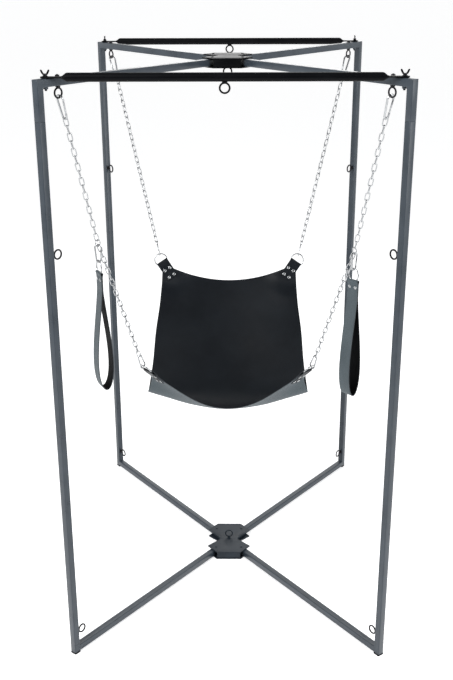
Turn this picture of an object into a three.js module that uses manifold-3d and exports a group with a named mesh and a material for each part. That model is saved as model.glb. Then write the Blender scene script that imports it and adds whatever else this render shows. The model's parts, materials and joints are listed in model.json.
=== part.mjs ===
// A free-standing square-tube steel frame that carries a leather sling seat and two foot loops on chains.
// Millimetres, +Z up. X runs across the frame, +Y to the back, and the origin is on the floor at the centre.
import * as THREE from "three";
import { mergeVertices } from "three/addons/utils/BufferGeometryUtils.js";
import Module from "manifold-3d";

const wasm = await Module();
wasm.setup();
const V = (x, y, z) => new THREE.Vector3(x, y, z);

// ---- Driving dimensions ----
const frameWidth = 1137; // between the post axes, across
const frameLength = 1500; // between the post axes, front to back
const frameHeight = 2100; // floor to the top of the top arms
const tubeSize = 25.4;
const tubeWall = 1.8;
const tubeCorner = 3;
const stubLength = 127; // how far each top corner reaches down its post
const sleeveReach = 80; // inner sleeve below the joint line
const sleeveWall = 2;
const slideGap = 0.4; // sleeve inside a tube, all round
const sleeveSeat = 5; // the sleeve is thick from this far above the joint line
const touchGap = 0.3; // between faces that rest on each other
const weldDepth = 1; // how far a welded piece reaches into the face it stands on
const boreReach = 60; // half the length of a boring tool, longer than any bore

const plateThickness = 5;
const plateFrontHalf = 52; // half the hub plate's straight front edge
const plateFrontY = 118;
const plateProngX = 92;
const plateProngY = 66;
const notchRadius = 28;
const hubWall = 4;
const hubWallInset = 2; // from the plate's front and side edges
const armInset = 40; // from the hub's centre to the inner end of each arm

const eyeRadius = 15.25; // ring centre line of every eye
const eyeWire = 3;
const eyeStem = 4;
const eyeCollar = 8;
const eyeCollarHeight = 2.5;
const boltCollarHeight = 5;
const midEyeHeight = 1542;
const lowEyeHeight = 86;
const postEyeReach = 38; // post axis to ring centre
const hubEyeReach = 22; // hub face to ring centre
const barEyeReach = 19; // underside of the bar to ring centre
const armEyeReach = 22.6; // underside of the arm to ring centre
const armEyeInset = 83; // post axis to eye bolt, along the arm
const boltNut = 7.5;
const boltNutHeight = 6.5;
const boltBeyondNut = 2;
const boltInCollar = 3; // how far the bolt's shank reaches into its collar

const barRadius = 14;
const barInset = 33; // post axis to wing screw, along the arm
const barRoundEnd = 67; // round part of the bar ends this far inside the wing screw
const barTaper = 20;
const barFlat = 6; // thickness of the flattened end
const barFlatHalf = 13;
const barBeyondScrew = 14;
const screwShank = 4;
const screwHole = 4.6;
const screwBeyondNut = 3;
const weldNut = 8;
const weldNutHeight = 7;
const wingSpan = 29;
const wingHeight = 20;
const wingThickness = 3;
const wingBoss = 6.5;
const wingBossHeight = 8;

const chainRadius = 9; // outside of the crossed links
const chainWire = 2;
const kinkLink = 12; // round link that a foot loop hangs in, wire centre line
const kinkClear = 38; // bare length of single wire on both sides of it, which leaves room for the hook
const upperHook = { length: 80, wire: 3.6, wide: 13, narrow: 8.5 };
const lowerHook = { length: 62, wire: 3, wide: 11, narrow: 7.5 };
const hookGap = 0.4; // between a hook and the ring it hangs in
const openPivotGap = 3; // extra play at the front sling rings, where the four-bar loop is left open
const stirrupPlay = 1.4; // room for a foot loop's hook to swing on its round link
const gateStart = 0.06; // along the hook's straight side, from the wide end
const gateEnd = 0.86;
const gateThinner = 0.85;
const gateNoseGap = 0.5;
const gateHeelGap = 0.26; // in wire radii, which lets the gate's corner turn past the hook's end

const ringRadius = 26.5; // sling ring, wire centre line
const ringWire = 2.5;
const sheetThickness = 3;
const tabWidth = 50;
const tabThickness = 9;
const foldDrop = 10.5; // from a ring's centre to the fold of its tab
const tabLength = 82; // from the fold to the far end of the tab
const rearCornerCut = 34; // from the fold to the trimmed corner of the sheet
const frontCornerCut = 22;
const twistWhole = 70; // within this distance of a fold the sheet lies flat in its tab
const twistNone = 165; // and from here on it keeps its own curve

const rearRing = V(293, 300, 1229); // ring centres on the +X side
const frontRing = V(313, -303, 969);
const rearTabAim = V(-56, -23, -80); // from a ring centre down its tab
const frontTabAim = V(-59, 34, -73);
const rearTabFace = V(-4, -95, 30); // square to the upper face of a tab
const frontTabFace = V(-53, 52, 67);
// Where each foot loop hangs in its front chain and how low it reaches, then degrees from the round link's axis
// round to its hook's width and to its strap's width.
const stirrups = {
  left: { kink: V(-440, -535, 1530), bottom: 990, hookTurn: 35, strapTurn: 149 },
  right: { kink: V(440, -535, 1502), bottom: 967, hookTurn: 0, strapTurn: 102 },
};
// Side edge and centre line of the sling, from the back edge to the front edge.
const sheetEdge = [V(286, 302, 1213), V(291, 180, 1087), V(302, 50, 994), V(308, -60, 899),
  V(319, -165, 822), V(315, -240, 860), V(306, -300, 1000)];
const sheetMiddle = [V(0, 300, 1138), V(0, 170, 988), V(0, 40, 857), V(0, -80, 772),
  V(0, -190, 757), V(0, -300, 801)];

const stirrupRing = 22.5; // wire centre line
const stirrupWire = 2.5;
const stirrupWidth = 48;
const stirrupThickness = 3;
const stirrupHalf = 28; // widest half opening, at the strap's middle
const stirrupNeck = 34; // riveted double part under the ring

// ---- Worked-out sizes ----
const halfTube = tubeSize / 2;
const diagonal = Math.hypot(frameWidth, frameLength) / 2;
const floorArmZ = plateThickness + touchGap; // underside of the floor arms
const hubHeight = 2 * plateThickness + tubeSize + 2 * touchGap;
const jointZ = frameHeight - stubLength;
const topHubZ = frameHeight - tubeSize - touchGap - plateThickness;
const barZ = frameHeight + touchGap + barFlat / 2;

// ---- Materials ----
const finish = (color, roughness, metalness) => new THREE.MeshStandardMaterial({ color, roughness, metalness });
const powderCoat = finish(0x454c54, 0.45, 0.3);
const blackCoat = finish(0x101114, 0.4, 0.3);
const blackSteel = finish(0x1a1b1d, 0.45, 0.6);
const nickel = finish(0xc9cdd0, 0.22, 1);
const leather = finish(0x23282e, 0.55, 0);

// ---- Solids ----
function solid(geometry) {
  const bare = geometry.index ? geometry.toNonIndexed() : geometry.clone();
  bare.deleteAttribute("normal");
  bare.deleteAttribute("uv");
  const merged = mergeVertices(bare, 1e-4);
  return new wasm.Manifold(new wasm.Mesh({
    numProp: 3, vertProperties: merged.attributes.position.array, triVerts: new Uint32Array(merged.index.array),
  }));
}

const join = (...parts) => parts.reduce((a, b) => a.add(b));

function geometryOf(manifold) {
  const { vertProperties, triVerts } = manifold.getMesh();
  const geometry = new THREE.BufferGeometry();
  geometry.setAttribute("position", new THREE.BufferAttribute(vertProperties, 3));
  geometry.setIndex(new THREE.BufferAttribute(triVerts, 1));
  geometry.computeVertexNormals();
  return geometry;
}

const block = (w, d, h, x = 0, y = 0, z = 0) => solid(new THREE.BoxGeometry(w, d, h).translate(x, y, z));

// A cylinder or a prism between two points.
function rod(from, to, radius, sides = 10) {
  const along = to.clone().sub(from);
  const turn = new THREE.Quaternion().setFromUnitVectors(V(0, 1, 0), along.clone().normalize());
  const middle = from.clone().add(to).multiplyScalar(0.5);
  return solid(new THREE.CylinderGeometry(radius, radius, along.length(), sides)
    .applyQuaternion(turn).translate(middle.x, middle.y, middle.z));
}

// A vertical bore through whatever stands at x and z.
const bore = (x, z, radius) => rod(V(x, 0, z - boreReach), V(x, 0, z + boreReach), radius);

function ring(centre, axis, radius, wire, around = 14, section = 6) {
  const turn = new THREE.Quaternion().setFromUnitVectors(V(0, 0, 1), axis.clone().normalize());
  return solid(new THREE.TorusGeometry(radius, wire, section, around)
    .applyQuaternion(turn).translate(centre.x, centre.y, centre.z));
}

function roundedSquare(size, corner) {
  const h = size / 2 - corner;
  if (corner === 0) return new THREE.Shape([[h, h], [-h, h], [-h, -h], [h, -h]].map(([x, y]) => new THREE.Vector2(x, y)));
  const s = new THREE.Shape();
  [[h, h, 0], [-h, h, 1], [-h, -h, 2], [h, -h, 3]].forEach(([x, y, quarter]) =>
    s.absarc(x, y, corner, quarter * Math.PI / 2, (quarter + 1) * Math.PI / 2, false));
  return s;
}

// A square bar along Z, from z0 to z1.
const squareBar = (size, corner, z0, z1) =>
  solid(new THREE.ExtrudeGeometry(roundedSquare(size, corner), { depth: z1 - z0, bevelEnabled: false, curveSegments: 2 })
    .translate(0, 0, z0));

// The same, along the arm direction, from u0 to u1.
const squareArm = (size, corner, u0, u1, z) =>
  squareBar(size, corner, u0, u1).rotate([0, 90, 0]).translate([0, 0, z]);

// An eye: a ring on a short stem, welded or bolted. `out` points from the face to the ring.
function eye(face, out, ringAxis, reach, collarHeight = eyeCollarHeight, weld = weldDepth) {
  const centre = face.clone().addScaledVector(out, reach);
  const stemEnd = face.clone().addScaledVector(out, reach - eyeRadius);
  const root = face.clone().addScaledVector(out, -weld);
  return join(
    ring(centre, ringAxis, eyeRadius, eyeWire),
    rod(root, stemEnd, eyeStem),
    rod(root, face.clone().addScaledVector(out, collarHeight), eyeCollar),
  );
}

// ---- Posts, arms and corners ----
const corners = [
  { name: "front_left", sx: -1, sy: -1 }, { name: "front_right", sx: 1, sy: -1 },
  { name: "rear_left", sx: -1, sy: 1 }, { name: "rear_right", sx: 1, sy: 1 },
].map((c) => ({
  ...c,
  x: c.sx * frameWidth / 2,
  y: c.sy * frameLength / 2,
  turn: Math.atan2(-c.sy * frameLength, -c.sx * frameWidth), // +X of the corner's own frame points at the hub
  inward: V(-c.sx * frameWidth, -c.sy * frameLength, 0).normalize(),
}));

const root = new THREE.Group();
const cornerGroups = corners.map((c) => {
  const g = new THREE.Group();
  g.position.set(c.x, c.y, 0);
  g.rotation.z = c.turn;
  root.add(g);
  return g;
});

function add(parent, name, manifold, material) {
  const mesh = new THREE.Mesh(geometryOf(manifold), material);
  mesh.name = name;
  parent.add(mesh);
  return mesh;
}

const insideSize = tubeSize - 2 * tubeWall;
const armEnd = diagonal - armInset;

// One leg: the post, with a closed foot, and its floor arm, hollow and open at both far ends.
function legSolid() {
  const armZ = floorArmZ + halfTube;
  const outer = join(squareBar(tubeSize, tubeCorner, 0, jointZ - touchGap),
    squareArm(tubeSize, tubeCorner, 0, armEnd, armZ));
  const inner = join(squareBar(insideSize, 0, floorArmZ + tubeWall, jointZ + 1),
    squareArm(insideSize, 0, 0, armEnd + 1, armZ));
  const eyes = [midEyeHeight, lowEyeHeight].map((z) =>
    eye(V(halfTube, 0, z), V(1, 0, 0), V(0, 1, 0), postEyeReach - halfTube));
  return join(outer.subtract(inner), ...eyes);
}

// One top corner: the arm, the stub that stands on the post, its inner sleeve, and the nut welded under the arm.
function topCornerSolid() {
  const armZ = frameHeight - halfTube;
  const sleeveSize = insideSize - 2 * slideGap;
  const outer = join(squareBar(tubeSize, tubeCorner, jointZ, frameHeight),
    squareArm(tubeSize, tubeCorner, -halfTube, armEnd, armZ));
  const inner = join(squareBar(insideSize, 0, jointZ - 1, frameHeight - tubeWall),
    squareArm(insideSize, 0, -halfTube + tubeWall, armEnd + 1, armZ));
  const sleeveTop = jointZ + sleeveReach / 3;
  const sleeve = join(squareBar(sleeveSize, 0, jointZ - sleeveReach, sleeveTop),
    squareBar(insideSize + 2 * touchGap, 0, jointZ + sleeveSeat, sleeveTop))
    .subtract(squareBar(sleeveSize - 2 * sleeveWall, 0, jointZ - sleeveReach - 1, sleeveTop + 1));
  const under = frameHeight - tubeSize;
  const nut = rod(V(barInset, 0, under - weldNutHeight), V(barInset, 0, under + weldDepth), weldNut, 6);
  return join(outer.subtract(inner), sleeve, nut)
    .subtract(bore(barInset, frameHeight, screwHole)).subtract(bore(armEyeInset, frameHeight, eyeStem + touchGap));
}

function armEyeSolid() {
  const under = frameHeight - tubeSize - touchGap;
  return join(
    eye(V(armEyeInset, 0, under), V(0, 0, -1), V(0, 1, 0), armEyeReach - touchGap, boltCollarHeight, 0),
    rod(V(armEyeInset, 0, under - boltInCollar), V(armEyeInset, 0, frameHeight + boltNutHeight + boltBeyondNut),
      eyeStem - touchGap),
    rod(V(armEyeInset, 0, frameHeight + touchGap), V(armEyeInset, 0, frameHeight + boltNutHeight), boltNut, 6),
  );
}

corners.forEach((c, i) => {
  add(cornerGroups[i], c.name + "_leg", legSolid(), powderCoat);
  add(cornerGroups[i], c.name + "_top_corner", topCornerSolid(), powderCoat);
  add(cornerGroups[i], c.name + "_arm_eye_bolt", armEyeSolid(), blackSteel);
});

// ---- Hubs ----
function plateShape() {
  const run = plateProngX - plateProngY; // the notch's flanks are at 45 degrees
  const arcX = run + notchRadius * Math.SQRT2;
  const s = new THREE.Shape();
  s.moveTo(-plateFrontHalf, -plateFrontY);
  s.lineTo(plateFrontHalf, -plateFrontY);
  s.lineTo(plateProngX, -plateProngY);
  s.absarc(arcX, 0, notchRadius, -0.75 * Math.PI, 0.75 * Math.PI, true);
  s.lineTo(plateProngX, plateProngY);
  s.lineTo(plateFrontHalf, plateFrontY);
  s.lineTo(-plateFrontHalf, plateFrontY);
  s.lineTo(-plateProngX, plateProngY);
  s.absarc(-arcX, 0, notchRadius, 0.25 * Math.PI, -0.25 * Math.PI, true);
  s.lineTo(-plateProngX, -plateProngY);
  return s;
}

function hubSolid(z, eyeUp) {
  const plate = solid(new THREE.ExtrudeGeometry(plateShape(),
    { depth: plateThickness, bevelEnabled: false, curveSegments: 8 }));
  const walls = [-1, 1].map((side) =>
    block(2 * (plateFrontHalf - hubWallInset), hubWall, hubHeight - plateThickness,
      0, side * (plateFrontY - hubWallInset - hubWall / 2), hubHeight / 2));
  const eyeFace = V(0, 0, eyeUp ? hubHeight : 0);
  return join(plate, plate.translate([0, 0, hubHeight - plateThickness]), ...walls,
    eye(eyeFace, V(0, 0, eyeUp ? 1 : -1), V(0, 1, 0), hubEyeReach)).translate([0, 0, z]);
}
add(root, "floor_hub", hubSolid(0, true), blackCoat);
add(root, "top_hub", hubSolid(topHubZ, false), blackCoat);

// ---- Spreader bars and their wing screws ----
const screwX = frameWidth / 2 - barInset * frameWidth / (2 * diagonal);
const screwY = frameLength / 2 - barInset * frameLength / (2 * diagonal);

// A loft along X through circles and, towards both ends, through flat rectangles: each station is [x, flat].
function barSolid() {
  const sides = 16;
  const half = screwX + barBeyondScrew;
  const roundX = screwX - barRoundEnd;
  const stations = [[-half, 1], [-roundX - barTaper, 1], [-roundX, 0], [roundX, 0], [roundX + barTaper, 1], [half, 1]];
  const positions = [];
  const index = [];
  stations.forEach(([x, flat]) => {
    for (let i = 0; i < sides; i++) {
      const a = (i + 0.5) * 2 * Math.PI / sides;
      const c = Math.cos(a), s = Math.sin(a);
      const k = Math.max(Math.abs(c), Math.abs(s));
      const y = flat ? barFlatHalf * c / k : barRadius * c;
      const z = flat ? (barFlat / 2) * s / k : barRadius * s;
      positions.push(x, y, z);
    }
  });
  for (let j = 0; j + 1 < stations.length; j++)
    for (let i = 0; i < sides; i++) {
      const a = j * sides + i, b = j * sides + (i + 1) % sides;
      index.push(a, b, a + sides, b, b + sides, a + sides);
    }
  for (let i = 1; i + 1 < sides; i++) {
    index.push(0, i + 1, i);
    const last = (stations.length - 1) * sides;
    index.push(last, last + i, last + i + 1);
  }
  const geometry = new THREE.BufferGeometry();
  geometry.setAttribute("position", new THREE.BufferAttribute(new Float32Array(positions), 3));
  geometry.setIndex(index);
  return join(solid(geometry), eye(V(0, 0, -barRadius), V(0, 0, -1), V(0, 1, 0), barEyeReach))
    .subtract(bore(-screwX, 0, screwHole)).subtract(bore(screwX, 0, screwHole));
}
[["front_spreader_bar", -1], ["rear_spreader_bar", 1]].forEach(([name, side]) =>
  add(root, name, barSolid().translate([0, side * screwY, barZ]), blackCoat));

// One wing's outline, from its root round to the middle: [share of half the span, share of the height].
const wingOutline = [[0.27, 0.05], [1, 0.7], [0.9, 1], [0.59, 0.95]];
const wingSaddle = 0.32;

function wingScrewSolid() {
  const seat = barZ + barFlat / 2 + touchGap;
  const place = (share, height) => new THREE.Vector2(share * wingSpan / 2, height * wingHeight);
  const wing = new THREE.Shape([...wingOutline.map(([x, z]) => place(x, z)), place(0, wingSaddle),
    ...wingOutline.map(([x, z]) => place(-x, z)).reverse()]);
  const wings = solid(new THREE.ExtrudeGeometry(wing, { depth: wingThickness, bevelEnabled: false })
    .translate(0, 0, -wingThickness / 2).rotateX(Math.PI / 2));
  return join(
    wings.translate([0, 0, seat]),
    rod(V(0, 0, seat), V(0, 0, seat + wingBossHeight), wingBoss),
    rod(V(0, 0, frameHeight - tubeSize - weldNutHeight - screwBeyondNut), V(0, 0, seat + weldDepth), screwShank),
  );
}
corners.forEach((c) => {
  const mesh = add(root, c.name + "_wing_screw", wingScrewSolid(), blackSteel);
  mesh.position.set(c.sx * screwX, c.sy * screwY, 0);
  mesh.rotation.z = c.sy > 0 ? Math.PI / 2 : 0;
});

// ---- Hooks ----
const pivots = {};

// A pear-shaped snap hook. `tip` is the wire's centre at the wide end, `along` points to the narrow end.
function addHook(name, size, tip, along, across) {
  const { length, wire, wide, narrow } = size;
  const tilt = Math.asin((wide - narrow) / (length - wide - narrow));
  const flank = (side, t) => V(
    side * THREE.MathUtils.lerp(wide, narrow, t) * Math.cos(tilt),
    THREE.MathUtils.lerp(wide + wide * Math.sin(tilt), length - narrow + narrow * Math.sin(tilt), t), 0);
  const arc = (y, radius, a0, a1, steps) => Array.from({ length: steps + 1 }, (_, i) => {
    const a = a0 + (a1 - a0) * i / steps;
    return V(radius * Math.cos(a), y + radius * Math.sin(a), 0);
  });
  const points = [flank(1, gateStart), ...arc(wide, wide, tilt, -Math.PI - tilt, 7), flank(-1, 0.33), flank(-1, 0.66),
    ...arc(length - narrow, narrow, Math.PI - tilt, tilt, 5), flank(1, gateEnd)];
  const section = new THREE.Shape().absarc(0, 0, wire, 0, 2 * Math.PI, false);
  const path = new THREE.CatmullRomCurve3(points, false, "centripetal");
  const body = new THREE.ExtrudeGeometry(section, { steps: 17, extrudePath: path, bevelEnabled: false, curveSegments: 3 });
  const nose = flank(1, gateStart), heel = flank(1, gateEnd);
  const gateRun = heel.clone().sub(nose).normalize();
  const gateFrom = nose.clone().addScaledVector(gateRun, gateNoseGap);
  const gateTo = heel.clone().addScaledVector(gateRun, -gateHeelGap * wire);
  const x = across.clone().addScaledVector(along, -across.dot(along)).normalize();
  const frame = new THREE.Matrix4().makeBasis(x, along, x.clone().cross(along)).setPosition(tip);
  const bodySolid = solid(body);
  const placed = (manifold) => manifold.transform(frame.toArray());
  add(root, name + "_body", placed(bodySolid), nickel);
  add(root, name + "_gate", placed(rod(gateFrom, gateTo, wire * gateThinner, 8)), nickel);
  pivots[name + "_gate"] = {
    pos: gateTo.clone().addScaledVector(gateRun, -wire).applyMatrix4(frame).toArray(),
    axis: x.clone().cross(along).normalize().toArray(),
  };
  return tip.clone().addScaledVector(along, length);
}

// ---- Chains, rings and tabs ----
const mirrored = (v, side) => V(side * v.x, v.y, v.z);
const unit = (from, to) => to.clone().sub(from).normalize();

// Where a taut line towards `aim` leaves an eye ring that hangs in the vertical plane of its arm.
function eyeContact(corner, aim) {
  const centre = V(corner.x, corner.y, frameHeight - tubeSize - armEyeReach).addScaledVector(corner.inward, armEyeInset);
  const plane = corner.inward.clone().cross(V(0, 0, 1)).normalize();
  const down = unit(centre, aim);
  const pull = down.clone().addScaledVector(plane, -down.dot(plane)).normalize();
  return { contact: centre.clone().addScaledVector(pull, eyeRadius), plane };
}

// A sling ring and the tab that folds round it lie in one plane.
function cornerTab(end, side) {
  const [ringCentre, aim, face, cut] = end === "rear"
    ? [rearRing, rearTabAim, rearTabFace, rearCornerCut]
    : [frontRing, frontTabAim, frontTabFace, frontCornerCut];
  const centre = mirrored(ringCentre, side);
  const down = mirrored(aim, side).normalize();
  const normal = mirrored(face, side);
  normal.addScaledVector(down, -normal.dot(down)).normalize();
  return { centre, down, normal, cut, fold: centre.clone().addScaledVector(down, foldDrop) };
}

const tabs = [];
for (const [sideName, side] of [["left", -1], ["right", 1]]) {
  for (const end of ["rear", "front"]) {
    const corner = corners.find((c) => c.name === end + "_" + sideName);
    const tab = cornerTab(end, side);
    const kink = end === "front" && stirrups[sideName].kink;
    const { contact, plane } = eyeContact(corner, kink || tab.centre);
    const pull = unit(kink || contact, tab.centre);
    pull.addScaledVector(tab.normal, -pull.dot(tab.normal)).normalize();
    const ringTop = tab.centre.clone().addScaledVector(pull, -ringRadius);
    const lowWay = unit(kink || contact, ringTop);
    const topWay = kink ? unit(contact, kink) : lowWay;
    const label = end + "_" + sideName;
    const topTip = contact.clone().addScaledVector(topWay, -(eyeWire + upperHook.wire + hookGap));
    const chainTop = addHook(label + "_upper_hook", upperHook, topTip, topWay, plane);
    const play = hookGap + (end === "front" ? openPivotGap : 0);
    const lowTip = ringTop.clone().addScaledVector(lowWay, ringWire + lowerHook.wire + play);
    const chainLow = addHook(label + "_lower_hook", lowerHook, lowTip, lowWay.clone().negate(), tab.normal);
    const start = chainTop.clone().addScaledVector(topWay, upperHook.wire + touchGap);
    const stop = chainLow.clone().addScaledVector(lowWay, -lowerHook.wire - touchGap);
    if (kink) {
      const axis = topWay.clone().cross(lowWay).normalize();
      const above = (s) => kink.clone().addScaledVector(topWay, -s);
      const below = (s) => kink.clone().addScaledVector(lowWay, s);
      const chain = join(rod(start, above(kinkClear), chainRadius, 8), rod(above(kinkClear + weldDepth), above(kinkLink), chainWire, 6),
        ring(kink, axis, kinkLink, chainWire),
        rod(below(kinkLink), below(kinkClear + weldDepth), chainWire, 6), rod(below(kinkClear), stop, chainRadius, 8));
      add(root, label + "_chain", chain, nickel);
      pivots[sideName + "_stirrup_axis"] = axis.toArray();
    } else add(root, label + "_chain", rod(start, stop, chainRadius, 8), nickel);
    pivots[label + "_eye"] = contact.toArray();
    pivots[label + "_ring"] = ringTop.toArray();
    tabs.push({ label, ...tab });
    add(root, label + "_sling_ring", ring(tab.centre, tab.normal, ringRadius, ringWire, 20), nickel);
  }
}

// ---- Sling sheet ----
function sheetPoint(u, v) {
  const edge = edgeCurve.getPoint(v), middle = middleCurve.getPoint(v);
  const rise = u * u;
  const point = V(u * edge.x, THREE.MathUtils.lerp(middle.y, edge.y, rise), THREE.MathUtils.lerp(middle.z, edge.z, rise));
  for (const { fold, normal } of tabs) {
    const share = 1 - THREE.MathUtils.smoothstep(point.distanceTo(fold), twistWhole, twistNone);
    point.addScaledVector(normal, -share * point.clone().sub(fold).dot(normal));
  }
  return point;
}
const edgeCurve = new THREE.CatmullRomCurve3(sheetEdge, false, "centripetal");
const middleCurve = new THREE.CatmullRomCurve3(sheetMiddle, false, "centripetal");

function sheetNormal(u, v) {
  const d = 1e-3;
  const u0 = Math.max(u - d, -1), u1 = Math.min(u + d, 1), v0 = Math.max(v - d, 0), v1 = Math.min(v + d, 1);
  return sheetPoint(u0, v).sub(sheetPoint(u1, v)).cross(sheetPoint(u, v1).sub(sheetPoint(u, v0))).normalize();
}

// The sheet's stations crowd towards its corners, where it twists into the tabs.
const halfStations = [0.18, 0.36, 0.52, 0.64, 0.74, 0.82, 0.89, 0.95, 1];
const acrossStations = [...halfStations.map((u) => -u).reverse(), 0, ...halfStations];
const alongStations = [0, 0.03, 0.06, 0.1, 0.15, 0.21, 0.28, 0.36, 0.44, 0.52, 0.6, 0.67, 0.73, 0.78, 0.82, 0.86, 0.9, 0.94, 0.97, 1];
const trimBlock = 200; // larger than any corner that is trimmed off

// `spill` carries the rim outwards past the sheet's own edges.
function sheetSolid(thickness, spill = 0) {
  const positions = [];
  const index = [];
  const across = acrossStations.length - 1, along = alongStations.length - 1;
  const row = across + 1, layer = row * (along + 1);
  for (const side of [0.5, -0.5])
    for (let j = 0; j <= along; j++)
      for (let i = 0; i <= across; i++) {
        const u = acrossStations[i], v = alongStations[j];
        const point = sheetPoint(u, v);
        const outwards = v === 0 ? unit(sheetPoint(u, 0.01), point) : unit(sheetPoint(u, 0.99), point);
        if (v === 0 || v === 1) point.addScaledVector(outwards, spill);
        if (u === -1 || u === 1) point.x += u * spill;
        positions.push(...point.addScaledVector(sheetNormal(u, v), side * thickness).toArray());
      }
  const quad = (a, b, c, d) => index.push(a, b, c, a, c, d);
  for (let j = 0; j < along; j++)
    for (let i = 0; i < across; i++) {
      const a = j * row + i;
      quad(a, a + row, a + row + 1, a + 1);
      quad(layer + a, layer + a + 1, layer + a + row + 1, layer + a + row);
    }
  const rim = (a, b) => quad(a, b, b + layer, a + layer);
  for (let i = 0; i < across; i++) {
    rim(i, i + 1);
    rim(along * row + i + 1, along * row + i);
  }
  for (let j = 0; j < along; j++) {
    rim((j + 1) * row, j * row);
    rim(j * row + across, (j + 1) * row + across);
  }
  const geometry = new THREE.BufferGeometry();
  geometry.setAttribute("position", new THREE.BufferAttribute(new Float32Array(positions), 3));
  geometry.setIndex(index);
  return solid(geometry);
}

let sheet = sheetSolid(sheetThickness);
const sheetRoom = sheetSolid(sheetThickness + 2 * touchGap, touchGap);
for (const { label, centre, down, normal, cut, fold } of tabs) {
  const frame = new THREE.Matrix4().makeBasis(down, normal.clone().cross(down), normal).setPosition(fold).toArray();
  const beyond = (reach) => block(trimBlock, trimBlock, trimBlock, reach - trimBlock / 2, 0, 0).transform(frame);
  sheet = sheet.subtract(beyond(cut));
  const room = ring(centre, normal, ringRadius, ringWire + touchGap, 20);
  const strap = join(block(tabLength, tabWidth, tabThickness, tabLength / 2, 0, 0),
    rod(V(0, -tabWidth / 2, 0), V(0, tabWidth / 2, 0), tabThickness / 2, 12)).transform(frame);
  const pieces = strap.subtract(sheetRoom.subtract(beyond(cut - touchGap))).subtract(room).decompose();
  add(root, label + "_sling_tab", pieces.sort((a, b) => b.volume() - a.volume())[0], leather);
}
add(root, "sling_sheet", sheet, leather);

// ---- Foot loops ----
// Half a hanging loop's outline, moved outwards by `offset`: widest two thirds of the way down.
function teardrop(offset, height, from) {
  const steps = 20;
  const peak = 0.65; // the greatest value of sin(a) * sin(a / 2) ** 2
  const points = [];
  for (let i = 1; i < steps; i++) {
    const a = i * Math.PI / steps;
    const x = stirrupHalf * Math.sin(a) * Math.sin(a / 2) ** 2 / peak + offset;
    if (x > touchGap) points.push([x, from - height * (1 - Math.cos(a)) / 2 - offset * (1 - Math.cos(a)) / 2]);
  }
  return points;
}

function loopSolid(ringWireZ, bottom) {
  const half = stirrupThickness / 2;
  const neckZ = ringWireZ - stirrupNeck;
  const height = neckZ - bottom - half;
  const outer = teardrop(half, height, neckZ).map(([x, z]) => [Math.max(x, stirrupThickness), z]);
  const inner = teardrop(-half, height, neckZ);
  const outline = (points, close) => new THREE.Shape([
    ...points.map(([x, z]) => new THREE.Vector2(x, z)), new THREE.Vector2(0, close),
    ...points.slice().reverse().map(([x, z]) => new THREE.Vector2(-x, z))]);
  const extrude = (shape, width) => solid(new THREE.ExtrudeGeometry(shape, { depth: width, bevelEnabled: false })
    .translate(0, 0, -width / 2).rotateX(Math.PI / 2));
  const loop = extrude(outline([[stirrupThickness, ringWireZ], ...outer], bottom), stirrupWidth)
    .subtract(extrude(outline(inner, bottom + stirrupThickness), stirrupWidth + 2));
  const fold = rod(V(0, -stirrupWidth / 2, ringWireZ), V(0, stirrupWidth / 2, ringWireZ),
    stirrupWire + touchGap + stirrupThickness, 14);
  return join(loop, fold);
}

Object.entries(stirrups).forEach(([name, { kink, bottom, hookTurn, strapTurn }]) => {
  const down = V(0, 0, -1);
  const turned = (degrees) => V(...pivots[name + "_stirrup_axis"]).setZ(0).normalize()
    .applyAxisAngle(V(0, 0, 1), THREE.MathUtils.degToRad(degrees));
  const tip = kink.clone().addScaledVector(down, kinkLink - chainWire - lowerHook.wire - stirrupPlay);
  const hookLow = addHook(name + "_stirrup_hook", lowerHook, tip, down, turned(hookTurn));
  const ringTop = hookLow.clone().addScaledVector(down, -lowerHook.wire - hookGap - stirrupWire);
  const ringCentre = ringTop.clone().addScaledVector(down, stirrupRing);
  const ringNormal = turned(strapTurn).cross(V(0, 0, 1));
  add(root, name + "_stirrup_ring", ring(ringCentre, ringNormal, stirrupRing, stirrupWire, 20), nickel);
  const wireZ = ringCentre.z - stirrupRing;
  const room = ring(V(0, 0, ringCentre.z), V(1, 0, 0), stirrupRing, stirrupWire + touchGap, 20);
  const strap = add(root, name + "_stirrup_strap", loopSolid(wireZ, bottom).subtract(room), leather);
  strap.position.set(kink.x, kink.y, 0);
  strap.rotation.z = Math.atan2(ringNormal.y, ringNormal.x);
  pivots[name + "_stirrup"] = kink.toArray();
});

root.userData.pivots = pivots;
export default root;
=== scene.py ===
# %% [markdown]
# # A sling seat on chains in a square-tube frame
# The frame is four L-shaped legs that meet in a flat hub on the floor, and four top corners that meet in
# the same hub above. A leather sling hangs from the top arms on four chains, and a foot loop hangs in each
# front chain. This file loads the working model, then makes every visible piece again with care: rounded
# tubes, real chain links, folded leather tabs, rivets and snap hooks. All lengths are in metres.

# %% Load the working model
import json
import math

import bpy
from mathutils import Matrix, Vector, noise
from mathutils.bvhtree import BVHTree


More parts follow.
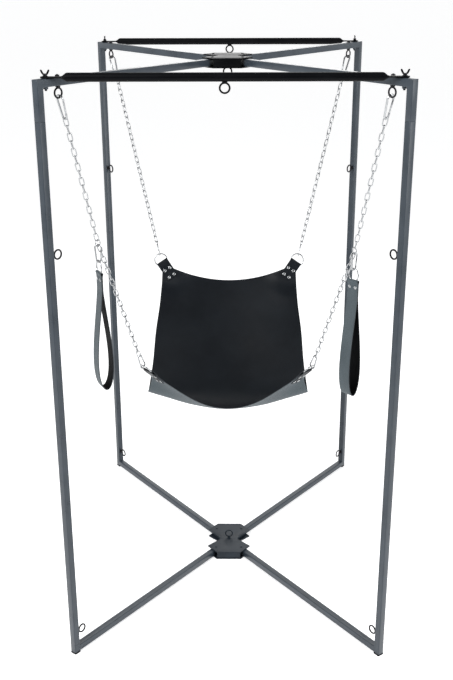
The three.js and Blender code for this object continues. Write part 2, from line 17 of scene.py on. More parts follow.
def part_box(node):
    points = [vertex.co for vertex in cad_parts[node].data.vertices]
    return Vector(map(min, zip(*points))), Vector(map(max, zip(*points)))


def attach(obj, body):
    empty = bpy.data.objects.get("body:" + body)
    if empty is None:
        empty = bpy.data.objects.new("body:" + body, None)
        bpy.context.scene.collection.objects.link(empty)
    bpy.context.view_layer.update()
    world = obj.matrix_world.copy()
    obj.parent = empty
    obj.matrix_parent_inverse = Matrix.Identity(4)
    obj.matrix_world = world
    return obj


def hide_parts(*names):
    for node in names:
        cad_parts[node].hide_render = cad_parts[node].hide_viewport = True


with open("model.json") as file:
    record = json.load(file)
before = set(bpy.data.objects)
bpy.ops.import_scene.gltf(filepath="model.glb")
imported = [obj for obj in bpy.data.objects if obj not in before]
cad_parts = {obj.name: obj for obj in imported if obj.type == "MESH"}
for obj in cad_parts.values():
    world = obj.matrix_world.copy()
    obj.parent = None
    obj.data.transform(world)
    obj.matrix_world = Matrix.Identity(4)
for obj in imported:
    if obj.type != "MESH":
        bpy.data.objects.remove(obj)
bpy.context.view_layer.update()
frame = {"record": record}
RECORD = frame["record"]
MOUNTS = {m["name"]: Vector(m["pos_m"]) for m in RECORD["mounts"]}
JOINTS = {j["name"]: j for j in RECORD["behaviour"]["joints"]}
X, Y, Z = Vector((1, 0, 0)), Vector((0, 1, 0)), Vector((0, 0, 1))
MM = 0.001

# %% [markdown]
# ## Camera and light
# A camera at standing height, a little way back, looks down at the frame so that the floor hub and the
# seat both show. A large soft key, a fill from the other side and a back light give the tubes long, calm
# highlights. A black card stands behind the camera, so the rounded edges that face it mirror a dark line
# between two lit sides. The world is white at the horizon and dim overhead, so that bright metal has
# something dark to mirror and doesn't melt into the white floor.

# %% Camera
LENS, SENSOR = 53.31, 36.0
bpy.ops.object.camera_add(
    location=(0.0488, -3.8774, 2.4363),
    rotation=[math.radians(a) for a in (69.332, 0.197, 0.762)],
)
camera = bpy.context.object
camera.data.lens, camera.data.sensor_width = LENS, SENSOR
bpy.context.scene.camera = camera
print("camera at", tuple(camera.location))

# %% Floor, world and lights
def flat_stage(name, size, place, tilt, colour, rough, glow=0.0):
    bpy.ops.mesh.primitive_plane_add(size=size, location=place, rotation=(tilt, 0, 0))
    sheet = bpy.context.object
    sheet.name = name
    material = bpy.data.materials.new(name + "_finish")
    material.use_nodes = True
    sockets = material.node_tree.nodes["Principled BSDF"].inputs
    sockets["Base Color"].default_value = colour
    sockets["Roughness"].default_value = rough
    sockets["Emission Color"].default_value = (1, 1, 1, 1)
    sockets["Emission Strength"].default_value = glow
    sheet.data.materials.append(material)
    return sheet


bpy.context.scene.view_settings.view_transform = "Standard"
flat_stage("studio_floor", 400, (0, 0, 0), 0, (0.93, 0.93, 0.93, 1), 0.9, 0.55)
card = flat_stage("black_card", 8, (0, -6.5, 3.4), math.pi / 2, (0.004, 0.004, 0.005, 1), 0.95)
card.visible_camera = False

world = bpy.data.worlds.new("studio_world")
bpy.context.scene.world = world
world.use_nodes = True
sky = world.node_tree.nodes
ramp = sky.new("ShaderNodeValToRGB")
ramp.color_ramp.elements[0].position, ramp.color_ramp.elements[0].color = 0.52, (1, 1, 1, 1)
ramp.color_ramp.elements[1].position, ramp.color_ramp.elements[1].color = 0.8, (0.4, 0.405, 0.41, 1)
split = sky.new("ShaderNodeSeparateXYZ")
height = sky.new("ShaderNodeMapRange")
height.inputs["From Min"].default_value = -1.0
for start, end in ((sky.new("ShaderNodeTexCoord").outputs["Generated"], split.inputs[0]),
                   (split.outputs["Z"], height.inputs["Value"]),
                   (height.outputs["Result"], ramp.inputs["Fac"]),
                   (ramp.outputs["Color"], sky["Background"].inputs["Color"])):
    world.node_tree.links.new(start, end)
sky["Background"].inputs["Strength"].default_value = 0.95


def soft_light(name, place, aim, size, power):
    bpy.ops.object.light_add(type="AREA", location=place)
    lamp = bpy.context.object
    lamp.name = name
    lamp.data.shape, lamp.data.size, lamp.data.energy = "SQUARE", size, power
    lamp.rotation_euler = (Vector(aim) - Vector(place)).to_track_quat("-Z", "Y").to_euler()
    return lamp


soft_light("key", (-2.6, -3.2, 4.2), (0, 0, 1.0), 2.4, 170)
soft_light("fill", (3.2, -2.4, 3.0), (0, 0, 1.0), 2.8, 90)
soft_light("back", (0.4, 3.6, 3.6), (0, 0, 1.2), 2.6, 60)
print("three soft lights")

# %% [markdown]
# ## A small language for materials
# A finish is a Principled shader whose colour, roughness and bump change over the surface. `Wire` wraps one
# output socket, so that shader maths reads like arithmetic, and `Finish.node` adds any other node.


# %% Shader helper
class Wire:
    def __init__(self, tree, socket):
        self.tree, self.socket = tree, socket

    def maths(self, operation, first, second):
        node = self.tree.nodes.new("ShaderNodeMath")
        node.operation = operation
        for value, into in zip((first, second), node.inputs):
            plug(self.tree, into, value)
        return Wire(self.tree, node.outputs[0])

    def __add__(self, other):
        return self.maths("ADD", self, other)

    def __sub__(self, other):
        return self.maths("SUBTRACT", self, other)

    def __mul__(self, other):
        return self.maths("MULTIPLY", self, other)

    def __radd__(self, other):
        return self.maths("ADD", other, self)

    def __rsub__(self, other):
        return self.maths("SUBTRACT", other, self)

    def __rmul__(self, other):
        return self.maths("MULTIPLY", other, self)


def plug(tree, into, value):
    if isinstance(value, Wire):
        tree.links.new(value.socket, into)
    else:
        into.default_value = value


class Finish:
    def __init__(self, name, **plain):
        self.material = bpy.data.materials.new(name)
        self.material.use_nodes = True
        self.tree = self.material.node_tree
        self.shader = self.tree.nodes["Principled BSDF"]
        for socket, value in plain.items():
            self.feed(socket.replace("_", " "), value)

    def feed(self, socket, value):
        plug(self.tree, self.shader.inputs[socket], value)

    def node(self, kind, settings=None, out=0, **sockets):
        node = self.tree.nodes.new("ShaderNode" + kind)
        for key, value in (settings or {}).items():
            setattr(node, key, value)
        for key, value in sockets.items():
            plug(self.tree, node.inputs[key.replace("_", " ")], value)
        return Wire(self.tree, node.outputs[out])

    def place(self):
        return self.node("TexCoord", out="Object")

    def cloud(self, scale, detail=3.0, rough=0.5):
        return self.node("TexNoise", Vector=self.place(), Scale=scale, Detail=detail, Roughness=rough)

    def blend(self, factor, low, high):
        node = self.tree.nodes.new("ShaderNodeMix")
        node.data_type = "RGBA"
        plug(self.tree, node.inputs["Factor"], factor)
        plug(self.tree, node.inputs["A"], low)
        plug(self.tree, node.inputs["B"], high)
        return Wire(self.tree, node.outputs["Result"])

    def range(self, value, low, high, to_low=0.0, to_high=1.0):
        node = self.tree.nodes.new("ShaderNodeMapRange")
        node.clamp = True
        for into, number in zip(node.inputs, (value, low, high, to_low, to_high)):
            plug(self.tree, into, number)
        return Wire(self.tree, node.outputs[0])

    def bump(self, height, distance, strength=1.0):
        self.feed("Normal", self.node("Bump", Height=height, Distance=distance, Strength=strength))


# %% [markdown]
# ## Paint
# Powder coat is sprayed dust that melts into a film, so it is never optically flat: it has a fine orange
# peel about a millimetre across, and its colour is even. The frame's coat is a graphite grey with a satin
# gloss. The top hub and the spreader bars wear the same film in black, and the floor hub a darker graphite.


# %% Powder coats
def powder(name, colour, light, gloss, shine):
    coat = Finish(name, Specular_IOR_Level=shine)
    patches = coat.cloud(14.0, 4.0)
    coat.feed("Base Color", coat.blend(coat.range(patches, 0.35, 0.68), colour, light))
    peel = coat.cloud(850.0, 2.0)
    coat.feed("Roughness", coat.range(patches + 0.3 * peel, 0.4, 0.9, gloss - 0.04, gloss + 0.06))
    coat.bump(peel, 0.00012, 0.5)
    return coat.material


GRAPHITE = powder("graphite_powder_coat", (0.030, 0.040, 0.052, 1), (0.040, 0.052, 0.066, 1), 0.3, 0.4)
DEEP_GRAPHITE = powder("deep_graphite_coat", (0.012, 0.018, 0.026, 1), (0.018, 0.026, 0.036, 1), 0.4, 0.25)
BLACK_COAT = powder("black_powder_coat", (0.0015, 0.0017, 0.0025, 1), (0.0025, 0.0028, 0.0038, 1), 0.45, 0.08)


# %% [markdown]
# ## Metal
# The eye bolts and wing screws are blackened steel: dark, a little shiny and rubbed brighter in patches.
# Chain, hooks, rings and rivets are nickel plate, which mirrors the room with a slightly cloudy film.


# %% Metals
def plate_metal(name, colour, worn, gloss, grain):
    metal = Finish(name, Metallic=1.0)
    film = metal.cloud(120.0, 5.0, 0.6)
    metal.feed("Base Color", metal.blend(metal.range(film, 0.4, 0.75), colour, worn))
    metal.feed("Roughness", metal.range(film, 0.3, 0.8, gloss, gloss + 0.12))
    metal.bump(metal.cloud(1600.0, 2.0), 0.00004, grain)
    return metal.material


NICKEL = plate_metal("nickel_plate", (0.47, 0.48, 0.49, 1), (0.36, 0.37, 0.38, 1), 0.14, 0.25)
BLACK_STEEL = plate_metal("blackened_steel", (0.018, 0.018, 0.02, 1), (0.045, 0.045, 0.048, 1), 0.3, 0.4)


# %% [markdown]
# ## Leather
# Finished hide has a pebble grain of rounded cells about 1.5 mm across, with finer wrinkles between them.
# A Voronoi pattern gives the cells, its distance to the nearest edge gives the creases, and soft clouds
# change the colour and the gloss where the hide is thicker or has been handled. The colour is darkened by up
# to half in the creases, which is painted shade in the grain's hollows. The inner face is smooth black. The
# outer face has a waxy sheen and a lighter grey colour, which is painted sheen of the grazing light. The foot
# loops' inner faces are the black side made still darker and duller, and that extra darkness is painted
# shade.


# %% Leathers
def hide(name, colour, light, gloss, shine, depth):
    skin = Finish(name, Specular_IOR_Level=shine)
    cells = skin.node("TexVoronoi", {"feature": "DISTANCE_TO_EDGE"}, Vector=skin.place(), Scale=520.0)
    pebble = skin.range(cells, 0.0, 0.25)
    wrinkles = skin.cloud(260.0, 5.0, 0.6)
    clouds = skin.cloud(7.0, 4.0)
    tone = skin.blend(skin.range(clouds, 0.32, 0.7), colour, light)
    # The colour is darkened by up to half in the creases between the cells: painted shade in the grain's
    # hollows.
    darker = skin.blend(skin.range(pebble, 0.0, 0.6), (0.5, 0.5, 0.5, 1), (1, 1, 1, 1))
    mixed = skin.tree.nodes.new("ShaderNodeMix")
    mixed.data_type, mixed.blend_type = "RGBA", "MULTIPLY"
    mixed.inputs["Factor"].default_value = 1.0
    plug(skin.tree, mixed.inputs["A"], tone)
    plug(skin.tree, mixed.inputs["B"], darker)
    skin.feed("Base Color", Wire(skin.tree, mixed.outputs["Result"]))
    skin.feed("Roughness", skin.range(clouds + 0.35 * wrinkles, 0.4, 0.95, gloss - 0.05, gloss + 0.08))
    skin.bump(pebble + 0.8 * wrinkles, depth, 0.5)
    return skin.material


SMOOTH_HIDE = hide("smooth_leather", (0.005, 0.007, 0.010, 1), (0.008, 0.011, 0.015, 1), 0.42, 0.16, 0.0002)
# Outer face: its lighter grey colour is painted sheen of the grazing light, and its gloss is the wax.
PAINTED_SHEEN_HIDE = hide("grey_leather_painted_sheen", (0.062, 0.082, 0.094, 1), (0.088, 0.112, 0.126, 1), 0.5, 0.3, 0.00025)
# Loop inner faces: the black side made darker than the smooth hide, which is painted shade inside the loop,
# and duller.
PAINTED_SHADE_BLACK_HIDE = hide("black_leather_painted_shade", (0.0022, 0.0024, 0.0040, 1), (0.0035, 0.0040, 0.0060, 1), 0.6, 0.05, 0.0002)
CUT_EDGE = hide("burnished_edge", (0.03, 0.036, 0.042, 1), (0.045, 0.052, 0.06, 1), 0.5, 0.25, 0.0001)
print("nine finishes")

# %% [markdown]
# ## Workshop helpers
# Every piece is a primitive or a curve that is shaped, turned and moved, and then has its place baked into
# its mesh, so that its object sits at the origin. `settle` does the last step: it shades the piece smooth,
# names it, gives it to its body and hides the plain solids that it takes the place of.


# %% Helpers
def clear_selection():
    bpy.ops.object.select_all(action="DESELECT")


def only(piece):
    clear_selection()
    piece.select_set(True)
    bpy.context.view_layer.objects.active = piece
    return piece


def bake_place(piece):
    only(piece)
    bpy.ops.object.transform_apply(location=True, rotation=True, scale=True)
    return piece


def carry(piece, matrix):
    piece.matrix_world = matrix @ piece.matrix_world
    return bake_place(piece)


def paint(piece, *materials):
    piece.data.materials.clear()
    for material in materials:
        piece.data.materials.append(material)
    return piece


def weld(name, pieces):
    clear_selection()
    for piece in pieces:
        piece.select_set(True)
    bpy.context.view_layer.objects.active = pieces[0]
    if len(pieces) > 1:
        bpy.ops.object.join()
    whole = bpy.context.view_layer.objects.active
    whole.name = whole.data.name = name
    return bake_place(whole)


def smooth(piece, angle=35):
    only(piece)
    bpy.ops.object.shade_smooth_by_angle(angle=math.radians(angle))
    return piece


def apply_modifier(piece, kind, **settings):
    only(piece)
    modifier = piece.modifiers.new(kind.lower(), kind)
    for key, value in settings.items():
        setattr(modifier, key, value)
    bpy.ops.object.modifier_apply(modifier=modifier.name)
    return piece


def settle(piece, name, body, slot, *nodes, angle=35):
    smooth(piece, angle)
    piece.name = piece.data.name = name
    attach(piece, body)
    if nodes:
        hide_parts(*nodes)
    return piece


def stand(start, end, up=None):
    """A matrix that carries the Z axis onto the line from start to end, with start at the origin."""
    along = (end - start).normalized()
    side = (up or (Y if abs(along.dot(Y)) < 0.9 else X)).cross(along).normalized()
    front = along.cross(side)
    return Matrix.Translation(start) @ Matrix((side, front, along)).transposed().to_4x4()


def rod(start, end, radius, sides=24, rim=0.0):
    clear_selection()
    length = (end - start).length
    bpy.ops.mesh.primitive_cylinder_add(
        vertices=sides, radius=radius, depth=length, location=(0, 0, length / 2))
    piece = bake_place(bpy.context.object)
    if rim:
        apply_modifier(piece, "BEVEL", width=rim, segments=2, angle_limit=math.radians(50))
    return carry(piece, stand(start, end))


def hoop(centre, axis, radius, wire, around=40, section=12):
    clear_selection()
    bpy.ops.mesh.primitive_torus_add(
        major_radius=radius, minor_radius=wire, major_segments=around, minor_segments=section)
    return carry(bpy.context.object, stand(centre, centre + axis))


def copy_piece(piece):
    twin = piece.copy()
    twin.data = piece.data.copy()
    bpy.context.collection.objects.link(twin)
    return twin


# %% [markdown]
# ## Sizes
# The feet give the post axes and the wing screws' joints give the screws. The rest are the stock sizes of
# the tube, the bolts and the plates.

# %% Sizes of the frame
TUBE, CORNER_ROUND = 25.4 * MM, 3.0 * MM
CORNERS = [(end + "_" + side, -1 if side == "left" else 1, -1 if end == "front" else 1)
           for end in ("front", "rear") for side in ("left", "right")]
POSTS = {name: MOUNTS[name + "_foot"] for name, _, _ in CORNERS}
INWARD = {name: -POSTS[name].normalized() for name in POSTS}
HALF_DIAGONAL = POSTS["front_left"].length
TOP = MOUNTS["top_hub_face"].z - 5.3 * MM
FLOOR_ARM = 5.3 * MM + TUBE / 2
TOP_ARM = TOP - TUBE / 2
JOINT_LINE = TOP - 127 * MM
ARM_INSET = 40 * MM
EYE_RADIUS, EYE_WIRE = 15.25 * MM, 3.0 * MM
HUB_HEIGHT = 36 * MM
TOP_HUB = TOP - 30.7 * MM
print("frame", tuple(round(size, 3) for size in (*(2 * POSTS["rear_right"]).xy, TOP)))

# %% [markdown]
# ## Square tube with a mitre
# A welded corner starts as two straight tubes. Each is a cube that is stretched and has its four long edges
# rounded. Both are cut on the 45 degree plane through the corner, and the cut rims share their points, so
# merging by distance closes the joint as a weld would.


# %% Tube
def square_tube(length, size=TUBE, corner=CORNER_ROUND):
    """A closed square tube that stands on the origin."""
    clear_selection()
    bpy.ops.mesh.primitive_cube_add(size=1, location=(0, 0, length / 2))
    tube = bpy.context.object
    tube.scale = (size, size, length)
    bake_place(tube)
    bpy.ops.object.mode_set(mode="EDIT")
    bpy.ops.mesh.select_mode(type="EDGE")
    bpy.ops.mesh.select_all(action="DESELECT")
    bpy.ops.object.mode_set(mode="OBJECT")
    for edge in tube.data.edges:
        ends = [tube.data.vertices[v].co.z for v in edge.vertices]
        edge.select = abs(ends[0] - ends[1]) > length / 2
    bpy.ops.object.mode_set(mode="EDIT")
    bpy.ops.mesh.bevel(offset=corner, segments=4)
    bpy.ops.object.mode_set(mode="OBJECT")
    return tube


def cut_away(piece, point, normal, within=10.0):
    """Cuts the faces near a point on a plane and drops the side that the normal points to."""
    only(piece)
    bpy.ops.object.mode_set(mode="EDIT")
    bpy.ops.mesh.select_mode(type="FACE")
    bpy.ops.mesh.select_all(action="DESELECT")
    bpy.ops.object.mode_set(mode="OBJECT")
    for face in piece.data.polygons:
        face.select = (face.center - point).length < within
    bpy.ops.object.mode_set(mode="EDIT")
    bpy.ops.mesh.bisect(plane_co=point, plane_no=normal, clear_outer=True, use_fill=False)
    bpy.ops.object.mode_set(mode="OBJECT")
    return piece


def tube_elbow(arm_z, post_end, arm_end):
    """A post on the Z axis and an arm along +X, mitred where they meet."""
    up = 1 if post_end > arm_z else -1
    post_from = arm_z - up * TUBE
    post_line = stand(Vector((0, 0, post_from)), Vector((0, 0, post_end)))
    post = carry(square_tube(abs(post_end - post_from)), post_line)
    arm_from = Vector((-TUBE, 0, arm_z))
    arm = carry(square_tube(arm_end + TUBE), stand(arm_from, Vector((arm_end, 0, arm_z)), Z))
    bend = Vector((0, 0, arm_z))
    cut_away(post, bend, Vector((1, 0, -up)))
    cut_away(arm, bend, Vector((-1, 0, up)))
    elbow = weld("elbow", [post, arm])
    bpy.ops.object.mode_set(mode="EDIT")
    bpy.ops.mesh.select_all(action="SELECT")
    bpy.ops.mesh.remove_doubles(threshold=2e-5)
    bpy.ops.mesh.normals_make_consistent(inside=False)
    bpy.ops.object.mode_set(mode="OBJECT")
    return apply_modifier(elbow, "BEVEL", width=0.7 * MM, segments=2, angle_limit=math.radians(40))


# %% [markdown]
# ## Eyes
# An eye is bent from 6 mm wire into a ring and stands on a short stem with a shoulder. A torus makes the
# ring and two cylinders make the rest. Those on the posts and hubs are welded, so they also get a small
# bead where the shoulder meets the tube.


# %% Eye
def eye(face, out, ring_axis, reach, shoulder=8 * MM, thick=2.5 * MM):
    centre = face + out * reach
    parts = [
        hoop(centre, ring_axis, EYE_RADIUS, EYE_WIRE, 40, 12),
        rod(face - out * MM, face + out * (reach - EYE_RADIUS), 3.9 * MM),
        rod(face - out * MM, face + out * thick, shoulder, 28, 0.8 * MM),
        hoop(face + out * thick, out, 4.4 * MM, 1.3 * MM, 24, 8),
    ]
    return weld("eye", parts)


def corner_matrix(name):
    """From the corner's own frame, where +X runs along the arm, to the whole frame."""
    inward = INWARD[name]
    return Matrix.Translation(POSTS[name]) @ Matrix.Rotation(math.atan2(inward.y, inward.x), 4, "Z")


# %% Legs
MID_EYE, LOW_EYE = 1542 * MM, 86 * MM
POST_EYE_REACH = 25.3 * MM


def foot_cap():
    cap = square_tube(5 * MM, TUBE + 1.6 * MM, CORNER_ROUND + 0.8 * MM)
    return apply_modifier(cap, "BEVEL", width=1.2 * MM, segments=2, angle_limit=math.radians(50))


for name, _, _ in CORNERS:
    tube = tube_elbow(FLOOR_ARM, JOINT_LINE - 0.3 * MM, HALF_DIAGONAL - ARM_INSET)
    paint(tube, GRAPHITE)
    eyes = weld("eyes", [eye(Vector((TUBE / 2, 0, z)), X, Y, POST_EYE_REACH) for z in (MID_EYE, LOW_EYE)])
    paint(eyes, BLACK_STEEL)
    cap = paint(foot_cap(), BLACK_COAT)
    for piece in (tube, eyes, cap):
        carry(piece, corner_matrix(name))
    settle(tube, name + "_leg_tube", "root", "frame_coat", name + "_leg")
    settle(eyes, name + "_leg_eyes", "root", "black_steel")
    settle(cap, name + "_foot_cap", "root", "black_coat")
print("four legs with welded eyes")

# %% [markdown]
# ## Top corners
# Each top corner is a shorter elbow that slides onto its post with an inner sleeve, so a fine dark line
# shows where the two tubes meet. Under the arm is the welded nut that takes the wing screw, and further in
# is the eye bolt that carries the chain, with its washer and hexagon nut on top.

# %% Top corners and arm eye bolts
SCREW_INSET = 33 * MM
EYE_INSET = 83 * MM
ARM_EYE_REACH = 22.3 * MM


def hexagon(base, top, corner_radius):
    return rod(base, top, corner_radius, 6, 0.7 * MM)


def top_corner():
    tube = tube_elbow(TOP_ARM, JOINT_LINE, HALF_DIAGONAL - ARM_INSET)
    under = Vector((SCREW_INSET, 0, TOP - TUBE))
    nut = hexagon(under - Z * 7 * MM, under + Z * 0.2 * MM, 8 * MM)
    sleeve = rod(Vector((0, 0, JOINT_LINE - 4 * MM)), Vector((0, 0, JOINT_LINE + 2 * MM)), 10 * MM, 24)
    return weld("top_corner", [tube, nut, sleeve])


def arm_eye_bolt():
    under = TOP - TUBE - 0.3 * MM
    foot = Vector((EYE_INSET, 0, under))
    ring = eye(foot, -Z, Y, ARM_EYE_REACH, 8 * MM, 5 * MM)
    over = Vector((EYE_INSET, 0, TOP + 0.3 * MM))
    washer = rod(over, over + Z * 1.2 * MM, 9 * MM, 32, 0.3 * MM)
    nut = hexagon(over + Z * 1.2 * MM, over + Z * 6.6 * MM, 7.5 * MM)
    thread = rod(foot, over + Z * 8.6 * MM, 3.7 * MM, 20, 0.5 * MM)
    return weld("arm_eye_bolt", [ring, washer, nut, thread])


for name, _, _ in CORNERS:
    corner = paint(top_corner(), GRAPHITE)
    bolt = paint(arm_eye_bolt(), BLACK_STEEL)
    carry(corner, corner_matrix(name))
    carry(bolt, corner_matrix(name))
    settle(corner, name + "_top_elbow", "root", "frame_coat", name + "_top_corner")
    settle(bolt, name + "_chain_eye_bolt", "root", "black_steel", name + "_arm_eye_bolt")
print("four top corners and eye bolts")

# %% [markdown]
# ## Hubs
# A hub is two flat plates with a waisted outline, held apart by a front and a back wall, and the arms slide
# in between. The outline is drawn once as a flat curve: straight edges, and a round notch on both sides.
# Giving the curve a thickness and a small bevel makes a plate whose rim catches the light.

# %% Hubs
PLATE = 5 * MM
PLATE_FRONT, PLATE_DEEP = 52 * MM, 118 * MM
PRONG_X, PRONG_Y = 92 * MM, 66 * MM
NOTCH = 28 * MM
RIVET_X, RIVET_Y = 55 * MM, 76 * MM
HUB_RIVET_RADIUS, HUB_RIVET_HIGH = 5 * MM, 2.4 * MM


def half_outline(side):
    """The side notch and its two prongs, from the front edge to the back edge."""
    centre_x = PRONG_X - PRONG_Y + NOTCH * math.sqrt(2)
    points = [(PLATE_FRONT, -PLATE_DEEP), (PRONG_X, -PRONG_Y)]
    for step in range(13):
        angle = math.radians(225 - 90 * step / 12)
        points.append((centre_x + NOTCH * math.cos(angle), NOTCH * math.sin(angle)))
    points += [(PRONG_X, PRONG_Y), (PLATE_FRONT, PLATE_DEEP)]
    return [(side * x, side * y) for x, y in points]


def flat_plate(outline, thickness, rim):
    curve = bpy.data.curves.new("outline", "CURVE")
    curve.dimensions, curve.fill_mode = "2D", "BOTH"
    curve.extrude, curve.bevel_depth, curve.bevel_resolution = thickness / 2 - rim, rim, 2
    curve.offset = -rim
    spline = curve.splines.new("POLY")
    spline.points.add(len(outline) - 1)
    for point, (x, y) in zip(spline.points, outline):
        point.co = (x, y, 0, 1)
    spline.use_cyclic_u = True
    plate = bpy.data.objects.new("plate", curve)
    bpy.context.collection.objects.link(plate)
    only(plate)
    bpy.ops.object.convert(target="MESH")
    plate = bpy.context.object
    bpy.ops.object.mode_set(mode="EDIT")
    bpy.ops.mesh.select_all(action="SELECT")
    bpy.ops.mesh.remove_doubles(threshold=1e-5)
    bpy.ops.mesh.normals_make_consistent(inside=False)
    bpy.ops.object.mode_set(mode="OBJECT")
    return plate


def wall(y, height):
    clear_selection()
    bpy.ops.mesh.primitive_cube_add(size=1, location=(0, y, height / 2))
    piece = bpy.context.object
    piece.scale = (2 * PLATE_FRONT - 4 * MM, 4 * MM, height - 2 * MM)
    bake_place(piece)
    return apply_modifier(piece, "BEVEL", width=0.6 * MM, segments=2)


def hub(z, eye_way, coat):
    outline = half_outline(1) + half_outline(-1)
    plates = [carry(flat_plate(outline, PLATE, 0.8 * MM), Matrix.Translation((0, 0, h)))
              for h in (PLATE / 2, HUB_HEIGHT - PLATE / 2)]
    walls = [wall(side * (PLATE_DEEP - 4 * MM), HUB_HEIGHT) for side in (-1, 1)]
    face = Vector((0, 0, HUB_HEIGHT if eye_way > 0 else 0))
    parts = plates + walls + [eye(face, Z * eye_way, Y, 22 * MM)]
    # The floor hub lies flat, so it has rivet heads on its upper plate only.
    faces = ((-1, 0.0), (1, HUB_HEIGHT)) if z > 0 else ((1, HUB_HEIGHT),)
    for sx in (-1, 1):
        for sy in (-1, 1):
            for way, height in faces:
                base = Vector((sx * RIVET_X, sy * RIVET_Y, height))
                parts.append(rod(base, base + Z * way * HUB_RIVET_HIGH, HUB_RIVET_RADIUS, 24, 0.9 * MM))
    return carry(paint(weld("hub", parts), coat), Matrix.Translation((0, 0, z)))


settle(hub(0, 1, DEEP_GRAPHITE), "floor_hub_box", "root", "black_coat", "floor_hub")
settle(hub(TOP_HUB, -1, BLACK_COAT), "top_hub_box", "root", "black_coat", "top_hub")
print("two hubs")

# %% [markdown]
# ## Spreader bars
# A round tube is crushed flat at both ends, so that it lies on the arms under a screw. The cylinder's end
# faces are selected, extruded along the bar and scaled down in height, which is what the press does.

# %% Spreader bars
BAR_RADIUS = 14 * MM
SCREW_AT = JOINTS["front_right_wing_screw_turn"]["pos_m"]
BAR_Z = TOP + 3.3 * MM
BAR_FLAT = 6 * MM
ROUND_END = 67 * MM  # the round part ends this far inside the screw
# How a bar's end is crushed, outwards: (how far, height scale, width scale).
PRESS = ((5 * MM, 0.86, 1.02), (10 * MM, 0.36, 1.0), (5 * MM, 0.7, 0.93), (55 * MM, 1, 1), (6 * MM, 0.9, 0.6))


def crush_end(bar, side, steps):
    for far, tall, wide in steps:
        bpy.ops.object.mode_set(mode="OBJECT")
        reach = max(side * v.co.x for v in bar.data.vertices)
        for polygon in bar.data.polygons:
            polygon.select = all(side * bar.data.vertices[v].co.x > reach - 1e-5 for v in polygon.vertices)
        bpy.ops.object.mode_set(mode="EDIT")
        bpy.ops.mesh.extrude_region_move(TRANSFORM_OT_translate={"value": (side * far, 0, 0)})
        bpy.ops.transform.resize(value=(1, wide, tall))
    bpy.ops.object.mode_set(mode="OBJECT")


def spreader_bar(y):
    clear_selection()
    bpy.ops.mesh.primitive_cylinder_add(
        vertices=40, radius=BAR_RADIUS, depth=2 * (SCREW_AT[0] - ROUND_END), rotation=(0, math.pi / 2, 0))
    bar = bake_place(bpy.context.object)
    bpy.ops.object.mode_set(mode="EDIT")
    bpy.ops.mesh.select_mode(type="FACE")
    bpy.ops.mesh.select_all(action="DESELECT")
    for side in (-1, 1):
        crush_end(bar, side, PRESS)
    ring = eye(Vector((0, 0, -BAR_RADIUS)), -Z, Y, 19 * MM, 8.5 * MM, 3 * MM)
    return carry(paint(weld("bar", [bar, ring]), BLACK_COAT), Matrix.Translation((0, y, BAR_Z)))


for end, side in (("front", -1), ("rear", 1)):
    node = end + "_spreader_bar"
    settle(spreader_bar(side * abs(SCREW_AT[1])), end + "_spreader_tube", "root", "black_coat", node)
print("two spreader bars")

# %% [markdown]
# ## Wing screws
# Two thin wings rise in a V from a small round boss. One wing is drawn as a flat curve, thickened, and
# mirrored by turning a copy half round.

# %% Wing screws
SCREW_SEAT = BAR_Z + BAR_FLAT / 2 + 0.3 * MM


def wing():
    points = [(1.5, 1.0), (5.0, 1.6), (9.5, 6.5), (13.2, 13.2), (14.5, 17.2), (13.6, 19.6),
              (11.4, 20.0), (8.8, 18.2), (6.2, 12.8), (3.4, 8.4), (1.5, 7.0)]
    flat = flat_plate([(x * MM, y * MM) for x, y in points], 3 * MM, 0.9 * MM)
    return carry(flat, Matrix.Rotation(math.pi / 2, 4, "X"))


def wing_screw():
    first = wing()
    second = carry(copy_piece(first), Matrix.Rotation(math.pi, 4, "Z"))
    boss = rod(Vector((0, 0, 0)), Vector((0, 0, 8 * MM)), 6.2 * MM, 28, 1.4 * MM)
    washer = rod(Vector((0, 0, 0)), Vector((0, 0, 1.3 * MM)), 8.5 * MM, 32, 0.3 * MM)
    shank = rod(Vector((0, 0, -44 * MM)), Vector((0, 0, MM)), 3.9 * MM, 20, 0.6 * MM)
    return paint(weld("wing_screw", [first, second, boss, washer, shank]), BLACK_STEEL)


for name, _, sy in CORNERS:
    place = JOINTS[name + "_wing_screw_turn"]["pos_m"]
    turn = Matrix.Rotation(math.pi / 2 if sy > 0 else 0, 4, "Z")
    screw = carry(wing_screw(), Matrix.Translation((place[0], place[1], SCREW_SEAT)) @ turn)
    settle(screw, name + "_wing_screw_head", name + "_wing_screw", "black_steel", name + "_wing_screw")
print("four wing screws")

# %% [markdown]
# ## Snap hooks
# A pear-shaped hook is one bent wire with a sprung gate in its straight side. The bend is worked out as two
# arcs of different radius joined by their common tangents, sampled as points of a curve with a round
# section. The gate is a thinner rod with a pin at its heel, and it turns on a body of its own.

# %% Hook
UPPER_HOOK = {"length": 80 * MM, "wire": 3.6 * MM, "wide": 13 * MM, "narrow": 8.5 * MM}
LOWER_HOOK = {"length": 62 * MM, "wire": 3.0 * MM, "wide": 11 * MM, "narrow": 7.5 * MM}
GATE_FROM, GATE_TO = 0.06, 0.86
NOSE_GAP, HEEL_GAP = 0.5 * MM, 0.26  # the heel's in wire radii


def bent_wire(points, radius, closed=False, section=3):
    curve = bpy.data.curves.new("wire", "CURVE")
    curve.dimensions, curve.bevel_depth, curve.bevel_resolution = "3D", radius, section
    curve.use_fill_caps = True
    spline = curve.splines.new("POLY")
    spline.points.add(len(points) - 1)
    for point, place in zip(spline.points, points):
        point.co = (*place, 1)
    spline.use_cyclic_u = closed
    wire = bpy.data.objects.new("wire", curve)
    bpy.context.collection.objects.link(wire)
    only(wire)
    bpy.ops.object.convert(target="MESH")
    return bpy.context.object


def arc(centre_y, radius, start, stop, steps):
    angles = [start + (stop - start) * i / steps for i in range(steps + 1)]
    return [Vector((radius * math.cos(a), centre_y + radius * math.sin(a), 0)) for a in angles]


